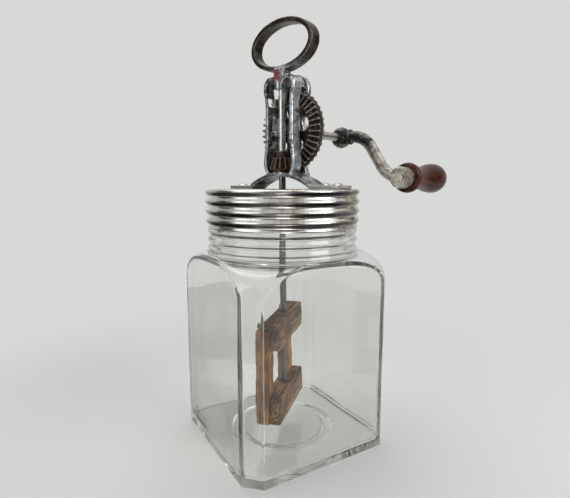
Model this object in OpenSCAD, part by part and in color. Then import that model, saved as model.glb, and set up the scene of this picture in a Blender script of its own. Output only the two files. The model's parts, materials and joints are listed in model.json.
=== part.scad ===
// Glass jar butter churn: a square glass jar, a ribbed screw lid and a hand crank that spins a wooden
// dasher through a pair of bevel gears. It stands on z = 0 with the crank shaft along +X.

/* [Jar] */
// Width of the jar across its flat sides
jar_w = 117.5; // [112:0.5:145]
// Length that each upright corner takes off a side
jar_corner = 10.9; // [6:0.1:15]
// Thickness of the glass wall
jar_wall = 4; // [3:0.1:5]
// Thickness of the glass floor
jar_floor = 4; // [3:0.1:8]
// Height at which the upright corners start to roll in
jar_side_h = 120; // [95:1:160]
// Radius of the shoulder between the sides and the neck
shoulder_r = 22; // [16:0.5:27]
// Height of the neck, from the shoulder to the mouth
neck_h = 43.5; // [36:0.5:55]
// Depth of the beads that ring the neck
bead_depth = 1.1; // [0.6:0.1:1.5]
// Distance from bead to bead on the neck
bead_pitch = 6.3; // [5:0.1:8]
// Height of the lowest bead above the shoulder
bead_start = 4; // [2:0.5:8]
// Plain height left below the mouth
lip_h = 3; // [2:0.5:6]
// Radius of the ring pressed into the underside of the floor
base_ring_r = 33.5; // [20:0.5:40]
// Width of the pressed ring
base_ring_w = 5; // [3:0.5:8]
// Depth of the pressed ring
base_ring_depth = 0.9; // [0.5:0.1:1.5]
// Chamfer around the bottom edge
foot_chamfer = 3; // [1:0.5:5]
// Turn of the jar under the crank
jar_turn = -16.6; // [-45:0.1:45]

/* [Lid] */
// Radius of the lid over its ridges
lid_r = 56; // [46:0.5:58]
// Height of the lid
lid_h = 27; // [18:0.1:34]
// Thickness of the lid's sheet metal
lid_sheet = 0.6; // [0.4:0.1:1]
// Depth of the rolled ridges
ridge_depth = 1.5; // [0.8:0.1:2]
// Distance from ridge to ridge
ridge_pitch = 6.6; // [5:0.1:9]
// Distance of the first ridge below the top
first_ridge = 1.7; // [1:0.1:3]
// Thickness of the sealing ring under the lid
gasket_t = 1.4; // [1:0.1:3]
// Gap between the lid's grooves and the neck's beads
lid_clear = 0.3; // [0.2:0.05:0.6]

/* [Gears] */
// Teeth on the driving gear
gear_teeth = 40; // [36:4:44]
// Teeth on the pinion
pinion_teeth = 12; // [10:2:14]
// Pitch diameter per tooth at the large end
tooth_module = 1.4; // [1.3:0.05:1.7]
// Length of the teeth
tooth_face = 8.5; // [6:0.1:10]
// Share of the pitch that a tooth fills
tooth_share = 0.4; // [0.34:0.01:0.44]
// Slope of the tooth sides
tooth_slope = 20; // [14.5:0.5:25]
// Thickness of the gear's web
web_t = 2.6; // [2:0.1:4]
// Openings through the gear's web
web_holes = 5; // [3:1:6]
// Diameter of the gear's hub
gear_hub_d = 14; // [12:0.5:18]
// Length of the gear's hub behind the web
gear_hub_l = 3.2; // [2.6:0.1:5]
// Diameter of the pinion's hub
pinion_hub_d = 9.2; // [8:0.1:10]
// Length of the pinion's hub above its teeth
pinion_hub_l = 5; // [4:0.5:8]
// Thickness of the washer under the pinion
washer_t = 0.8; // [0.5:0.1:1.5]

/* [Frame] */
// Width of the finger ring
ring_w = 58.2; // [48:0.2:70]
// Height of the finger ring
ring_h = 35; // [29:0.2:42]
// Thickness of the ring's strap
ring_t = 3.6; // [3:0.1:5]
// Depth of the ring, along the crank shaft
ring_depth = 9; // [7:0.5:12]
// Height of the ring's middle above the crank shaft
ring_rise = 57.7; // [54:0.1:66]
// Half width between the middles of the loop's straps
loop_half = 11.6; // [11:0.1:13]
// Gap between the pinion's teeth and the loop's straps
belly_gap = 2.7; // [2:0.1:4]
// Thickness of the loop's straps
strap_t = 2.8; // [2.2:0.1:3.4]
// Front of the loop, measured from the dasher shaft
loop_front = 4.5; // [4:0.1:7]
// Radius of the two lobes at the top of the loop
lobe_r = 7.2; // [6.4:0.1:7.4]
// Half width of the rear upright's round top
rear_half = 12; // [10:0.2:13]
// Thickness of the rear upright
rear_t = 4.4; // [3.6:0.1:6]
// Thickness of the arched bridge
bridge_t = 3; // [3:0.1:4.5]
// Height of the arch over the lid
arch_h = 8.94; // [6:0.02:12]
// Depth of the bridge, along the crank shaft
bridge_depth = 17; // [14:0.5:22]
// Shift of the bridge towards the gear
bridge_shift = 3.5; // [2:0.5:5]
// Length of the bridge's flat feet
foot_l = 24; // [21:0.5:27]
// Thickness of the bridge's flat feet
foot_t = 2.6; // [2:0.1:3.4]
// Distance from the feet to the edge of the lid
foot_inset = 3; // [2:0.5:6]

/* [Crank] */
// Diameter of the crank shaft
shaft_d = 6.5; // [5.5:0.1:7.5]
// Distance of the crank arm from the dasher shaft
crank_reach = 73; // [64:0.5:90]
// Diameter of the ball at the crank's centre
ball_d = 17; // [15:0.5:20]
// Width of the ball, along the crank shaft
ball_w = 13; // [10:0.5:15]
// Thickness of the crank arm
arm_d = 9.4; // [8:0.1:11]
// Sideways throw of the crank arm
crank_throw = 57; // [50:0.5:68]
// Drop from the crank shaft to the knob
crank_drop = 33.7; // [28:0.1:40]
// Radius of the arm's two bends
bend_r = 22; // [16:0.5:24]
// Steepest slope of the arm
bend_angle = 57; // [50:1:65]
// Diameter of the boss that carries the knob
boss_d = 16.4; // [14:0.2:20]
// Width of the boss
boss_w = 9; // [7:0.5:12]

/* [Knob] */
// Length of the knob
knob_l = 60; // [50:0.5:72]
// Diameter of the knob's collar
collar_d = 23.4; // [20:0.2:28]
// Width of the collar
collar_w = 8; // [6:0.5:10]
// Diameter of the knob's waist
waist_d = 17.6; // [15:0.2:20]
// Diameter of the knob's bulb
bulb_d = 24.3; // [21:0.1:29]
// Distance of the widest place from the knob's end
bulb_end = 13.5; // [11:0.5:18]
// Diameter of the spindle that the knob turns on
spindle_d = 5; // [4:0.1:6]

/* [Dasher] */
// Diameter of the dasher shaft
dasher_shaft_d = 5; // [4.4:0.1:6.2]
// Length of the two crossbars
bar_l = 64; // [56:0.5:74]
// Height of the crossbars
bar_h = 20; // [17:0.5:25]
// Thickness of the crossbars
bar_t = 13; // [12:0.5:15]
// Height from one crossbar to the other
bar_rise = 55.5; // [44:0.5:64]
// Gap between the dasher and the floor of the jar
floor_gap = 16; // [8:0.5:20]
// Width of the two slats
slat_w = 12; // [10:0.5:15]
// Thickness of the slats
slat_t = 9; // [8:0.5:10]
// Depth that the slats are let into the crossbars
slat_in = 5; // [3:0.5:6]
// Distance that the slats stop short of the upper crossbar's top
slat_short = 6; // [2:0.5:6]
// Turn of the dasher
dasher_turn = 27; // [0:1:90]

/* [Fasteners] */
// Diameter of the rivets through the feet
rivet_d = 4.5; // [3.5:0.1:5.5]
// Diameter of the rivet heads
rivet_head_d = 8; // [6.5:0.1:9]
// Height of the rivet heads
rivet_head_h = 1.6; // [1:0.1:2.2]
// Distance between the two rivets of a foot
rivet_pitch = 10; // [9:0.5:12]
// Diameter of the cross pins in the crank and the crossbars
pin_d = 2.4; // [1.8:0.1:2.6]
// Diameter of the cross pins in the gear and the pinion
hub_pin_d = 1.6; // [1.2:0.1:1.8]
// Diameter of the nails
nail_d = 1.8; // [1.4:0.1:2.2]
// Length of the nails
nail_l = 15; // [13:0.5:16]
// Diameter of the nail heads
nail_head_d = 4.2; // [3.4:0.1:5]
// Thickness of the nail heads
nail_head_h = 0.7; // [0.5:0.1:1]

/* [Fits] */
// Clearance around a shaft that turns
run_fit = 0.06; // [0.03:0.01:0.1]
// Clearance around a piece that is driven home
seat_fit = 0.02; // [0.01:0.01:0.04]
// Gap between faces that run past each other
face_gap = 0.3; // [0.2:0.05:0.5]

/* [Hidden] */
$fn = 64;

// Length by which a cut runs past a face, or a piece of a casting into the next
slack = 1;

// Jar and lid
shoulder_top = jar_side_h + shoulder_r;
mouth_z = shoulder_top + neck_h;
seal_gap = 0.03;
seal_z = mouth_z + seal_gap;
lid_top = seal_z + gasket_t + seal_gap + lid_sheet;
neck_r = lid_r - ridge_depth - lid_sheet - lid_clear;
neck_bore_r = neck_r - bead_depth - jar_wall;
corner_flat = (jar_w - jar_corner) / sqrt(2);
corner_reach = norm([jar_w / 2, jar_w / 2 - jar_corner]);
shoulder_mid = corner_reach - shoulder_r;
arc_steps = 12;
bead_steps = 8;
bead_count = floor((neck_h - bead_start - lip_h) / bead_pitch);
lid_steps = 40;
oval_step = 5;

// Gears, whose two pitch cones share their tip where the shafts' axes meet
gear_r = gear_teeth * tooth_module / 2;
pinion_r = pinion_teeth * tooth_module / 2;
gear_cone = atan2(gear_r, pinion_r);
pinion_cone = 90 - gear_cone;
cone_l = norm([gear_r, pinion_r]);
inner_scale = (cone_l - tooth_face) / cone_l;
tip_share = 0.8;
root_share = 1.15;
tooth_add = tip_share * tooth_module;
tooth_ded = root_share * tooth_module;
tooth_half = tooth_share * PI * tooth_module / 2;
tooth_sink = 0.3;
tooth_low = -tooth_ded - tooth_sink;
gear_root = root_point(gear_cone);
pinion_root = root_point(pinion_cone);
gear_lip = 1.6;
gear_set = 0.8;
gear_rim_r = gear_root[0] + gear_lip;
gear_rim_t = 1.6;
web_margin = 1.4;
pinion_back = pinion_root[1] + face_gap;
pinion_top = pinion_root[1] * inner_scale - pinion_hub_l;

// Bridge, with its feet on the lid and the pinion's seat on its crown
washer_gap = 0.05;
seat_boss_h = 0.5;
seat_boss_r = 6;
bridge_top = arch_h + bridge_t;
bridge_back = bridge_shift + bridge_depth / 2;
axis_h = bridge_top + seat_boss_h + washer_t + 2 * washer_gap + pinion_back;
axis_z = lid_top + axis_h;
foot_reach = lid_r - foot_inset;
span_half = foot_reach - foot_l;
arch_r = (pow(span_half, 2) + pow(arch_h, 2)) / (2 * arch_h);
rivet_shift = 1;
rivet_y = foot_reach - foot_l / 2 + rivet_shift;
rivet_grip = foot_t + lid_sheet;
rivet_dome_r = (pow(rivet_head_d / 2, 2) + pow(rivet_head_h, 2)) / (2 * rivet_head_h);

// Loop, with heights measured from the crank shaft
loop_gap = 1;
loop_back = inner_scale * (pinion_r - tooth_add * sin(gear_cone)) - loop_gap;
belly_half = pinion_r + tooth_add + belly_gap + strap_t / 2;
pinion_mid = -gear_r * (1 + inner_scale) / 2;
lobe_gap = 0.66;
lobe_rise = gear_rim_r + lobe_gap;
lobe_half = 7.5;
lobe_open = 2;
lobe_in = lobe_half + lobe_r - strap_t;
hood_l = 3.8;
hood_step = 0.3;
shaft_hide = 2.8;
shaft_top = lobe_rise + shaft_hide;
top_boss_t = 1.2;
top_boss_r = dasher_shaft_d / 2 + top_boss_t;
top_boss_drop = 2.6;
neck_half = 4.5;
neck_low = lobe_rise + lobe_r - strap_t;
ring_foot = ring_rise - ring_h / 2 + ring_t / 2;
ring_shift = 1.5;

// Middle line of a strap, as pairs of a height and a distance from the dasher shaft
loop_path = [
    [arch_h - axis_h, belly_half - 4.1],
    [bridge_top + 2 - axis_h, belly_half - 1],
    [pinion_mid, belly_half],
    [pinion_mid + 6, belly_half - 0.4],
    [pinion_mid + 12, loop_half + 0.4],
    [pinion_mid + 18, loop_half],
    [lobe_rise - 12, loop_half],
    [lobe_rise - 6, loop_half + 0.8],
    [lobe_rise - lobe_open, lobe_in + strap_t / 2]
];

// Bottoms and tops of the openings in the upright on the +Y side
windows = [[-11.9, -7.4], [-0.6, 10.8], [16.9, 22.9]];
window_rim = 1.2;

// Bearings of the crank shaft, before and behind the gear
shaft_gap = 0.5;
bearing_half = 9;
bearing_front = dasher_shaft_d / 2 + shaft_gap;
bearing_t = 3.4;
bearing_r = 8;
bearing_proud = 0.6;
bearing_back = gear_root[1] * inner_scale + bearing_proud;
shaft_head_r = 4.6;
shaft_head_t = 1;
shaft_head_x = bearing_front + face_gap / 2;
shaft_head_back = shaft_head_x + shaft_head_t;
gear_front = bearing_back + face_gap;
gear_back = gear_front + web_t + gear_hub_l;
gear_pin_x = gear_back - gear_hub_l / 2;
rear_front = gear_back + face_gap;
rear_back = rear_front + rear_t;
rear_boss_l = 1.8;
rear_boss_back = rear_back + rear_boss_l;

// Rear upright and the deck that joins it to the loop over the gear
rear_rise = 3.6;
rear_top = lobe_rise + lobe_r + rear_rise;
rear_mid = rear_top - rear_half;
deck_gap = 1.3;
deck_low = gear_rim_r + deck_gap;
deck_step = 3;
deck_lap = 2;
pad_half = 11.4;
pad_sink = 0.45;

// Outline of the rear upright below its round top, as pairs of a height and a half width
rear_path = [
    [arch_h + 2 * pad_sink - axis_h, 11],
    [bridge_top + 4 - axis_h, 9.4],
    [-11, 6.4],
    [8, 6.4],
    [rear_mid, rear_half - 0.2]
];

// Crank and knob
straight_l = (crank_drop - 2 * bend_r * (1 - cos(bend_angle))) / sin(bend_angle);
lead_l = crank_throw - 2 * bend_r * sin(bend_angle) - straight_l * cos(bend_angle);
shaft_proud = 0.5;
shaft_end = crank_reach + ball_w / 2 + shaft_proud;
arm_ring_t = 1.5;
arm_ring_r = arm_d / 2 + arm_ring_t;
arm_ring_w = 2;
lap = 0.6;
lap_step = 0.1;
boss_front = crank_reach - boss_w / 2;
boss_back = crank_reach + boss_w / 2;
knob_front = boss_back + face_gap;
spindle_head_r = 3.6;
spindle_head_t = 1.2;
spindle_recess_r = 4.4;
spindle_recess = 2.2;
collar_round = 2.4;
waist_at = 19;
knob_flat_r = 5.2;
knob_steps = 12;

// Dasher
lower_bar_z = jar_floor + floor_gap;
upper_bar_z = lower_bar_z + bar_rise;
shaft_lift = 4;
shaft_tip_z = lower_bar_z + shaft_lift;
slat_drop = 1;
slat_low = lower_bar_z - slat_drop;
slat_high = upper_bar_z + bar_h - slat_short;
slat_mid = (bar_l - slat_w) / 2;
slat_face = bar_t / 2 - slat_in;
nail_rise = 5;
nail_step = 2;
pinion_pin_z = axis_z - pinion_top - pinion_hub_l / 2;
lid_hole_t = 1.5;
lid_hole_r = dasher_shaft_d / 2 + lid_hole_t;

// Root of a bevel tooth at its large end: distance from the axis, and from the tip of the cone
function root_point(cone) = [
    cone_l * sin(cone) - tooth_ded * cos(cone),
    cone_l * cos(cone) + tooth_ded * sin(cone)
];

// Radius of a rolled wave at a distance from one of its crests
function wave_r(crest, depth, pitch, away) = crest - depth / 2 + depth / 2 * cos(360 * away / pitch);

// Quarter round of the shoulder, from the sides up to the neck
function shoulder_arc(r) = [
    for (i = [0 : arc_steps]) let (a = 90 * i / arc_steps)
        [shoulder_mid + r * cos(a), jar_side_h + r * sin(a)]
];

// Corner points of an oval
function oval(half_w, half_h) = [
    for (a = [0 : oval_step : 360 - oval_step]) [half_w * cos(a), half_h * sin(a)]
];

// Four corners of a tooth's end, at its large end where grow is 1
function tooth_end(cone, grow) = [
    for (side = [[-1, tooth_low], [1, tooth_low], [1, tooth_add], [-1, tooth_add]])
        grow * [
            cone_l * sin(cone) + side[1] * cos(cone),
            side[0] * (tooth_half - side[1] * tan(tooth_slope)),
            cone_l * cos(cone) - side[1] * sin(cone)
        ]
];

// Teeth of a bevel gear that opens up along +Z from the tip of its cone
module bevel_teeth(count, cone, first) {
    corners = concat(tooth_end(cone, 1), tooth_end(cone, inner_scale));
    sides = [[0, 1, 2, 3], [7, 6, 5, 4], [4, 5, 1, 0], [5, 6, 2, 1], [6, 7, 3, 2], [7, 4, 0, 3]];
    for (i = [0 : count - 1])
        rotate(first + 360 * i / count) polyhedron(corners, sides);
}

// Lays an outline drawn in Y and Z across the crank shaft, from front to back
module across(front, back) {
    translate([front, 0, 0]) rotate([90, 0, 90]) linear_extrude(back - front) children();
}

// Cylinder along +X
module rod_x(x0, x1, r) {
    translate([x0, 0, 0]) rotate([0, 90, 0]) cylinder(h = x1 - x0, r = r);
}

// Places the crank's own plane, with its first axis along -Y and its second along +Z
module crank_plane() {
    translate([crank_reach, 0, axis_z]) rotate([90, 0, -90]) children();
}

// Places pieces on the knob's axis
module knob_axis() {
    translate([0, -crank_throw, axis_z - crank_drop]) children();
}

// Places pieces along the dasher, with its length along X
module dasher_place() {
    rotate(dasher_turn) children();
}

// Eight-sided outline of the jar, or of its inside
module jar_outline(inset) {
    half = jar_w / 2 - inset;
    cut = (corner_flat - inset) * sqrt(2) - half;
    polygon([
        [half, -cut], [half, cut], [cut, half], [-cut, half],
        [-half, cut], [-half, -cut], [-cut, -half], [cut, -half]
    ]);
}

// Square body under its round shoulder, or its inside
module jar_body(inset, floor_z) {
    r = shoulder_r - inset;
    intersection() {
        translate([0, 0, floor_z]) linear_extrude(shoulder_top - floor_z) jar_outline(inset);
        rotate_extrude()
            polygon(concat(
                [[0, floor_z], [shoulder_mid + r, floor_z]],
                shoulder_arc(r),
                [[0, jar_side_h + r]]
            ));
    }
}

module jar_neck() {
    steps = bead_count * bead_steps;
    beads = [
        for (i = [0 : steps]) let (z = (i / bead_steps - 0.5) * bead_pitch)
            [wave_r(neck_r, bead_depth, bead_pitch, z), shoulder_top + bead_start + z]
    ];
    rotate_extrude()
        polygon(concat(
            [[0, jar_side_h], [neck_r - bead_depth, jar_side_h]],
            beads,
            [[neck_r - bead_depth, mouth_z], [0, mouth_z]]
        ));
}

module foot_cut(reach) {
    side = foot_chamfer * sqrt(2);
    translate([reach, 0, 0]) rotate([0, 45, 0]) cube([side, 2 * jar_w, side], center = true);
}

module glass_jar() {
    color([0.80, 0.86, 0.84, 0.4]) rotate(jar_turn) difference() {
        union() {
            jar_body(0, 0);
            jar_neck();
        }
        jar_body(jar_wall, jar_floor);
        translate([0, 0, jar_side_h]) cylinder(h = mouth_z, r = neck_bore_r);
        for (turn = [0 : 90 : 270]) {
            rotate(turn) foot_cut(jar_w / 2);
            rotate(turn + 45) foot_cut(corner_flat);
        }
        rotate_extrude()
            translate([base_ring_r - base_ring_w / 2, -slack])
                square([base_ring_w, base_ring_depth + slack]);
    }
}

module lid_gasket() {
    color("dimgray") translate([0, 0, seal_z]) difference() {
        cylinder(h = gasket_t, r = neck_r);
        translate([0, 0, -slack]) cylinder(h = gasket_t + 2 * slack, r = neck_bore_r);
    }
}

module screw_lid() {
    skirt = [
        for (i = [0 : lid_steps]) let (down = lid_h * i / lid_steps)
            [wave_r(lid_r, ridge_depth, ridge_pitch, down - first_ridge), lid_top - down]
    ];
    lining = [
        for (i = [lid_steps : -1 : 0])
            if (skirt[i][1] < lid_top - lid_sheet) skirt[i] - [lid_sheet, 0]
    ];
    inside_r = lining[len(lining) - 1][0];
    color("silver") difference() {
        rotate_extrude()
            polygon(concat(
                [[0, lid_top]], skirt, lining,
                [[inside_r, lid_top - lid_sheet], [0, lid_top - lid_sheet]]
            ));
        translate([0, 0, lid_top - lid_sheet - slack]) cylinder(h = lid_sheet + 2 * slack, r = lid_hole_r);
        rivet_places() cylinder(h = 2 * rivet_grip, r = rivet_d / 2 + seat_fit, center = true);
    }
}

// Rivet positions on both feet, at the lid's top face
module rivet_places() {
    for (side = [-1, 1], row = [-1, 1])
        translate([bridge_shift, side * rivet_y + row * rivet_pitch / 2, lid_top]) children();
}

// One upright of the loop, on the +Y side
module loop_strap() {
    polygon(concat(
        [for (p = loop_path) [p[1] + strap_t / 2, p[0]]],
        [for (i = [len(loop_path) - 1 : -1 : 0]) [loop_path[i][1] - strap_t / 2, loop_path[i][0]]]
    ));
}

// Pair of discs at the top of the loop
module lobes(r) {
    for (side = [-1, 1])
        translate([side * lobe_half, lobe_rise]) circle(r = r);
}

// Pair of rings, drawn thinner by an inset on both sides
module lobe_straps(inset) {
    difference() {
        lobes(lobe_r - inset);
        lobes(lobe_r - strap_t + inset);
    }
}

// Outline of the loop, whose lobes open into it from above
module loop_outline() {
    for (side = [0, 1])
        mirror([side, 0]) loop_strap();
    difference() {
        lobe_straps(0);
        translate([-lobe_in, lobe_rise - lobe_open - 2 * lobe_r]) square([2 * lobe_in, 2 * lobe_r]);
    }
    translate([-neck_half, neck_low]) square([2 * neck_half, ring_foot - neck_low]);
}

// Leaves of an outline what lies above the gear
module over_gear() {
    intersection() {
        children();
        translate([-lobe_r - lobe_half, deck_low]) square(2 * (lobe_r + lobe_half));
    }
}

// Outline of the rear upright, or of the deck when it is drawn smaller
module rear_outline(inset) {
    polygon(concat(
        [for (p = rear_path) [p[1] - inset, p[0]]],
        [for (i = [len(rear_path) - 1 : -1 : 0]) [inset - rear_path[i][1], rear_path[i][0]]]
    ));
    translate([0, rear_mid]) circle(r = rear_half - inset);
}

// Outline of the arched bridge and its flat feet, measured from the lid's top
module bridge_outline() {
    difference() {
        union() {
            intersection() {
                translate([0, arch_h - arch_r]) circle(r = arch_r + bridge_t);
                translate([-foot_reach, 0]) square([2 * foot_reach, bridge_top + slack]);
            }
            translate([-foot_reach, 0]) square([2 * foot_reach, foot_t]);
        }
        translate([0, arch_h - arch_r]) circle(r = arch_r);
    }
}

module ring_outline() {
    difference() {
        polygon(oval(ring_w / 2, ring_h / 2));
        polygon(oval(ring_w / 2 - ring_t, ring_h / 2 - ring_t));
    }
}

module frame_casting() {
    translate([0, 0, axis_z]) {
        across(-loop_front, loop_back) loop_outline();
        translate([0, 0, ring_rise])
            across(ring_shift - ring_depth / 2, ring_shift + ring_depth / 2) ring_outline();
        translate([0, 0, lobe_rise - top_boss_drop])
            cylinder(h = lobe_r + top_boss_drop, r = top_boss_r);
        translate([bearing_front, -loop_half, -bearing_half])
            cube([bearing_t, 2 * loop_half, 2 * bearing_half]);
        rod_x(bearing_front, bearing_back, bearing_r);
        across(rear_front, rear_back) rear_outline(0);
        rod_x(rear_front, rear_boss_back, bearing_r);
        across(loop_back - deck_lap, loop_back + hood_l) over_gear() lobe_straps(hood_step);
        across(loop_back - slack, rear_front + deck_lap) over_gear() rear_outline(deck_step);
    }
    translate([0, 0, lid_top]) {
        across(bridge_back - bridge_depth, bridge_back) bridge_outline();
        translate([0, 0, arch_h + bridge_t / 2]) cylinder(h = bridge_t / 2 + seat_boss_h, r = seat_boss_r);
        translate([bridge_back - slack, -pad_half, arch_h + pad_sink])
            cube([rear_back - bridge_back + slack, 2 * pad_half, bridge_t - 2 * pad_sink]);
    }
}

module gear_frame() {
    color([0.66, 0.66, 0.68]) difference() {
        frame_casting();
        translate([0, 0, lid_top - slack])
            cylinder(h = axis_h + shaft_top + face_gap + slack, r = dasher_shaft_d / 2 + run_fit);
        translate([0, 0, axis_z]) {
            rod_x(bearing_front - slack, rear_boss_back + slack, shaft_d / 2 + run_fit);
            rod_x(bearing_front - slack, shaft_head_back + face_gap / 2, shaft_head_r + face_gap);
        }
        rivet_places() cylinder(h = 3 * rivet_grip, r = rivet_d / 2 + seat_fit, center = true);
        for (w = windows)
            translate([-loop_front + window_rim, loop_half - strap_t, axis_z + w[0]])
                cube([loop_front + loop_back - 2 * window_rim, 2 * strap_t, w[1] - w[0]]);
    }
}

module foot_rivets() {
    color("gray") rivet_places() {
        translate([0, 0, -lid_sheet]) cylinder(h = rivet_grip, r = rivet_d / 2);
        translate([0, 0, foot_t]) intersection() {
            cylinder(h = rivet_head_h, r = rivet_head_d / 2);
            translate([0, 0, rivet_head_h - rivet_dome_r]) sphere(r = rivet_dome_r);
        }
    }
}

module crank_shaft() {
    color("lightgray") translate([0, 0, axis_z]) difference() {
        union() {
            rod_x(shaft_head_x, shaft_head_back, shaft_head_r);
            rod_x(shaft_head_x, shaft_end, shaft_d / 2);
        }
        cross_hole(gear_pin_x, hub_pin_d);
        cross_hole(crank_reach, pin_d);
    }
}

// Upright hole for a cross pin
module cross_hole(x, d) {
    translate([x, 0, 0]) cylinder(h = 2 * ball_d, r = d / 2 + seat_fit, center = true);
}

module drive_gear() {
    inner = gear_root * inner_scale;
    color([0.30, 0.23, 0.19]) translate([0, 0, axis_z]) difference() {
        union() {
            rotate([0, 90, 0]) {
                bevel_teeth(gear_teeth, gear_cone, 180 / gear_teeth);
                rotate_extrude()
                    polygon([
                        inner, gear_root,
                        [gear_rim_r, gear_root[1] + gear_set],
                        [gear_rim_r, gear_root[1] + gear_set + gear_rim_t],
                        [inner[0], gear_front + web_t]
                    ]);
                translate([0, 0, gear_front]) cylinder(h = web_t, r = inner[0] + slack);
                translate([0, 0, gear_front]) cylinder(h = web_t + gear_hub_l, r = gear_hub_d / 2);
            }
        }
        rod_x(0, crank_reach, shaft_d / 2 + seat_fit);
        cross_hole(gear_pin_x, hub_pin_d);
        for (i = [0 : web_holes - 1])
            rotate([360 * i / web_holes, 0, 0])
                translate([0, 0, (gear_hub_d / 2 + inner[0]) / 2])
                    rod_x(0, crank_reach, (inner[0] - gear_hub_d / 2) / 2 - web_margin);
    }
}

module gear_pin() {
    color("gray") translate([gear_pin_x, 0, axis_z])
        cylinder(h = gear_hub_d, r = hub_pin_d / 2, center = true);
}

// Curved stretch of the arm around a centre, from one direction to another
module arm_bend(centre, from, to) {
    translate(centre) rotate(from)
        rotate_extrude(angle = to - from) translate([bend_r, 0]) circle(d = arm_d);
}

module arm_rod(start, direction, length, r) {
    translate(start) rotate(direction) rotate([0, 90, 0]) cylinder(h = length, r = r);
}

module crank_arm() {
    first_end = [lead_l + bend_r * sin(bend_angle), -bend_r * (1 - cos(bend_angle))];
    slope = [cos(bend_angle), -sin(bend_angle)];
    second_start = first_end + straight_l * slope;
    ball_curve = [
        for (i = [0 : arc_steps]) let (z = ball_w * (i / arc_steps - 0.5))
            [sqrt(pow(ball_d / 2, 2) - z * z), z]
    ];
    color([0.32, 0.30, 0.29]) difference() {
        union() {
            crank_plane() {
                rotate_extrude() polygon(concat([[0, -ball_w / 2]], ball_curve, [[0, ball_w / 2]]));
                arm_rod([0, 0], 0, lead_l + lap, arm_d / 2 - lap_step);
                arm_rod([ball_d / 2 - slack / 2, 0], 0, arm_ring_w, arm_ring_r);
                arm_bend([lead_l, -bend_r], 90 - bend_angle, 90);
                arm_rod(first_end - lap * slope, -bend_angle, straight_l + 2 * lap, arm_d / 2 - lap_step);
                arm_bend(second_start + bend_r * [sin(bend_angle), cos(bend_angle)], 270 - bend_angle, 270);
            }
            knob_axis() rod_x(boss_front, boss_back, boss_d / 2);
        }
        translate([0, 0, axis_z]) {
            rod_x(0, 2 * crank_reach, shaft_d / 2 + seat_fit);
            cross_hole(crank_reach, pin_d);
        }
        knob_axis() rod_x(0, 2 * crank_reach, spindle_d / 2 + seat_fit);
    }
}

module crank_pin() {
    color("gray") translate([crank_reach, 0, axis_z]) cylinder(h = ball_d, r = pin_d / 2, center = true);
}

module knob_spindle() {
    knob_end = knob_front + knob_l - spindle_recess + face_gap;
    color("gray") knob_axis() {
        rod_x(boss_front - spindle_head_t, boss_front, spindle_head_r);
        rod_x(boss_front - spindle_head_t, knob_end + spindle_head_t, spindle_d / 2);
        rod_x(knob_end, knob_end + spindle_head_t, spindle_head_r);
    }
}

module crank_knob() {
    wide_at = knob_l - bulb_end;
    end_turn = acos(2 * knob_flat_r / bulb_d);
    collar = [
        for (i = [0 : knob_steps]) let (t = 2 * i / knob_steps - 1)
            [collar_d / 2 - collar_round * (1 - sqrt(1 - t * t)), collar_w * i / knob_steps]
    ];
    grip = [
        for (i = [0 : knob_steps]) let (t = i / knob_steps)
            [
                (waist_d + (bulb_d - waist_d) * (1 - cos(180 * t)) / 2) / 2,
                waist_at + (wide_at - waist_at) * t
            ]
    ];
    dome = [
        for (i = [1 : knob_steps]) let (a = end_turn * i / knob_steps)
            [bulb_d / 2 * cos(a), wide_at + bulb_end * sin(a) / sin(end_turn)]
    ];
    color([0.32, 0.15, 0.10]) knob_axis() difference() {
        translate([knob_front, 0, 0]) rotate([0, 90, 0])
            rotate_extrude() polygon(concat([[0, 0]], collar, grip, dome, [[0, knob_l]]));
        rod_x(0, 2 * (knob_front + knob_l), spindle_d / 2 + run_fit);
        rod_x(knob_front + knob_l - spindle_recess, knob_front + 2 * knob_l, spindle_recess_r);
    }
}

module dasher_shaft() {
    color([0.45, 0.45, 0.46]) difference() {
        translate([0, 0, shaft_tip_z])
            cylinder(h = axis_z + shaft_top - shaft_tip_z, r = dasher_shaft_d / 2);
        pinion_pin_hole();
        dasher_place() bar_pin_holes();
    }
}

module pinion_pin_hole() {
    translate([0, 0, pinion_pin_z]) rotate([90, 0, 0])
        cylinder(h = 2 * pinion_hub_d, r = hub_pin_d / 2 + seat_fit, center = true);
}

// Cross-pin holes in the crossbars, in the dasher's own direction
module bar_pin_holes() {
    for (z = [lower_bar_z, upper_bar_z])
        translate([0, 0, z + bar_h / 2]) rotate([90, 0, 0])
            cylinder(h = 2 * bar_t, r = pin_d / 2 + seat_fit, center = true);
}

module dasher_pinion() {
    inner = pinion_root * inner_scale;
    color([0.36, 0.26, 0.20]) difference() {
        translate([0, 0, axis_z]) rotate([180, 0, 0]) {
            bevel_teeth(pinion_teeth, pinion_cone, 0);
            rotate_extrude()
                polygon([
                    [0, pinion_top],
                    [pinion_hub_d / 2, pinion_top],
                    [pinion_hub_d / 2, inner[1]],
                    inner, pinion_root,
                    [pinion_root[0], pinion_back],
                    [0, pinion_back]
                ]);
        }
        cylinder(h = 2 * axis_z, r = dasher_shaft_d / 2 + seat_fit);
        pinion_pin_hole();
    }
}

module pinion_pin() {
    color("gray") translate([0, 0, pinion_pin_z]) rotate([90, 0, 0])
        cylinder(h = pinion_hub_d, r = hub_pin_d / 2, center = true);
}

module thrust_washer() {
    color("goldenrod") translate([0, 0, axis_z - pinion_back - washer_gap - washer_t]) difference() {
        cylinder(h = washer_t, r = seat_boss_r);
        translate([0, 0, -slack]) cylinder(h = washer_t + 2 * slack, r = dasher_shaft_d / 2 + run_fit);
    }
}

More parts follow.
